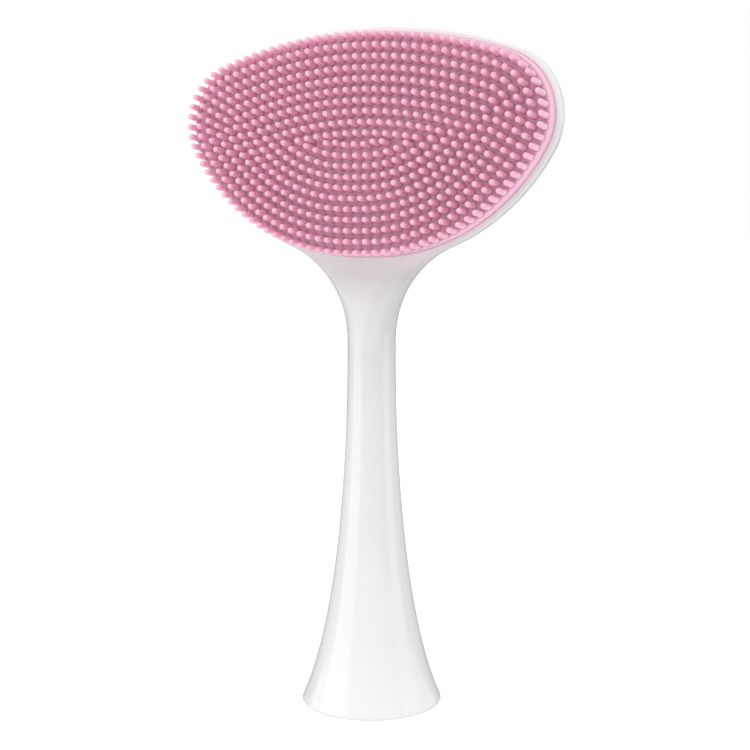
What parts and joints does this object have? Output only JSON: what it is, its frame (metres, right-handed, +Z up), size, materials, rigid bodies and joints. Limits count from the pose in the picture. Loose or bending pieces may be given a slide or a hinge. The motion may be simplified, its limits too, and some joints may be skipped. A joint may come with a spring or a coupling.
{
  "type": "facial cleansing brush head",
  "caption": "Push-on facial cleansing brush head: flared white stem, wide rounded tray and a soft silicone bristle pad.",
  "frame": {"origin": "centre of the base rim, the ring that seats on the handle", "axes": "+Z up the stem towards the head, the bristles face -Y, +X to the right seen from the bristle side"},
  "size_m": [0.0468, 0.017, 0.08],
  "materials": {
    "shell_white": "glossy moulded ABS",
    "silicone_pink": "satin silicone",
    "carrier_white": "moulded polycarbonate",
    "stainless": "bright stainless steel",
    "acetal": "natural acetal",
    "nitrile": "black nitrile"
  },
  "bodies": {
    "head": {"head_shell": "shell_white", "drive_core": "acetal", "core_seal": "nitrile", "retaining_ring": "carrier_white", "pad_carrier": "carrier_white", "carrier_screw_1": "stainless", "carrier_screw_2": "stainless", "carrier_screw_3": "stainless", "carrier_screw_4": "stainless"},
    "pad": {"bristle_pad": "silicone_pink"},
    "spring_leaf": {"shaft_spring": "stainless"}
  },
  "joints": [
    {"name": "pad_lift_off", "type": "slide", "parent": "head", "child": "pad", "axis": [0, -1, 0], "range_m": [0, 0.008]},
    {"name": "spring_flex", "type": "hinge", "parent": "head", "child": "spring_leaf", "pos_m": [0, 0.0019, 0.0069], "axis": [-1, 0, 0], "range_deg": [0, 3.5], "stiffness_Nm_per_rad": 0.05}
  ]
}
